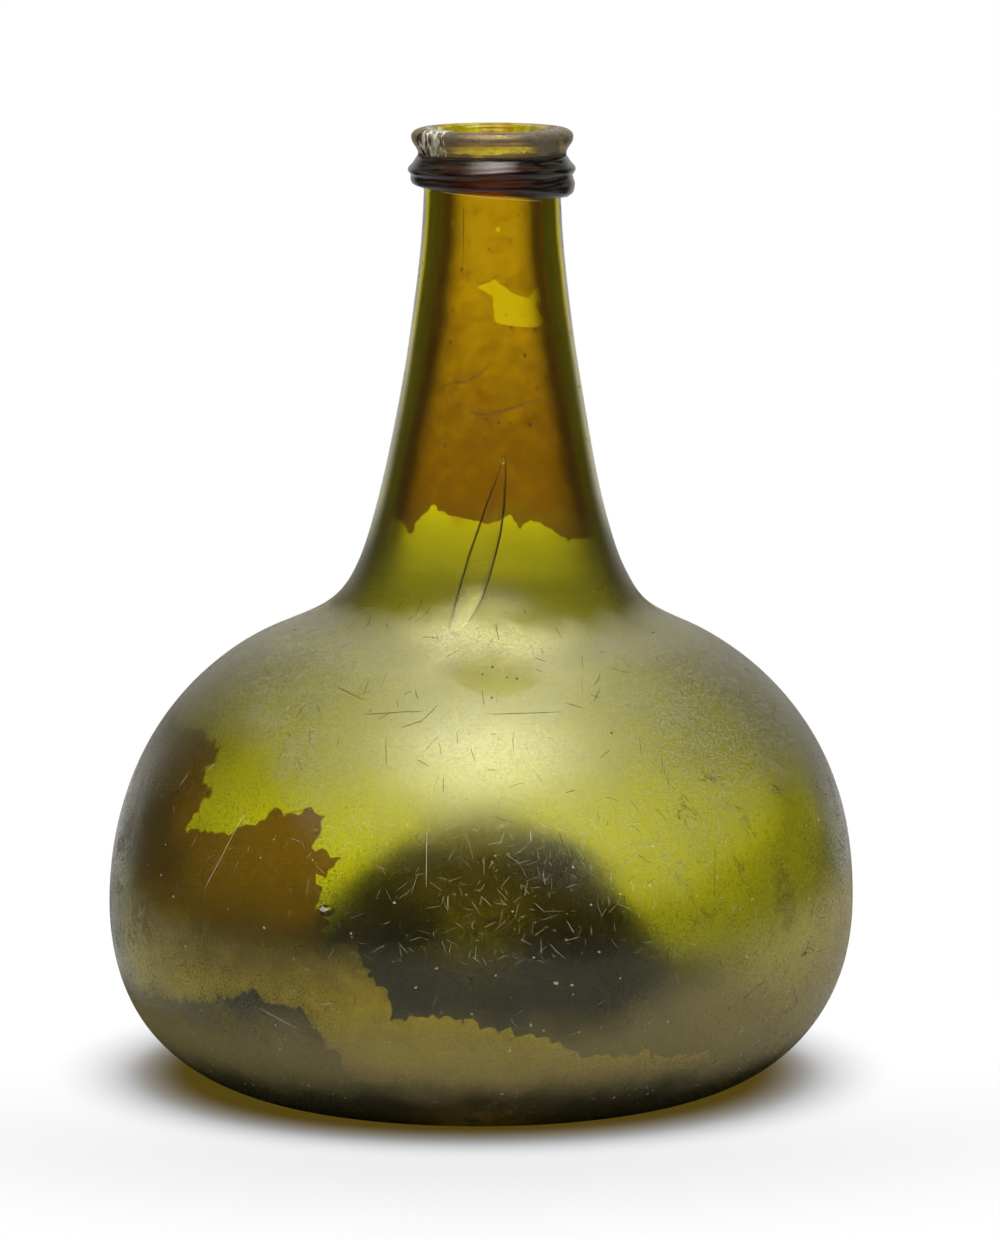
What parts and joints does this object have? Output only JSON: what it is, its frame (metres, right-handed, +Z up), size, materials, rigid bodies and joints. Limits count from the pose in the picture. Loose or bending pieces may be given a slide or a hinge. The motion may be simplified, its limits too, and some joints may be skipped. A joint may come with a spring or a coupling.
{
  "type": "onion bottle",
  "caption": "Free-blown glass onion bottle with a squat round body, pushed-up base, long tapering neck, applied string rim and flared lip, with dried residue clinging inside.",
  "frame": {"origin": "on the floor, under the middle of the base", "axes": "+Z up along the neck; -Y is the front, with the chipped lip to the left and the residue on the lower left; +X to the right seen from the front"},
  "size_m": [0.145, 0.145, 0.186],
  "materials": {
    "olive_glass": "transparent olive green, worn and faintly dull outside",
    "rim_glass": "transparent dark olive brown, weathered",
    "amber_film": "thin dry translucent film",
    "tan_film": "thin dry translucent film"
  },
  "bodies": {
    "root": {"bottle_body": "olive_glass", "string_rim": "rim_glass", "pontil_scar": "rim_glass", "neck_residue": "amber_film", "body_residue": "tan_film"}
  },
  "joints": []
}
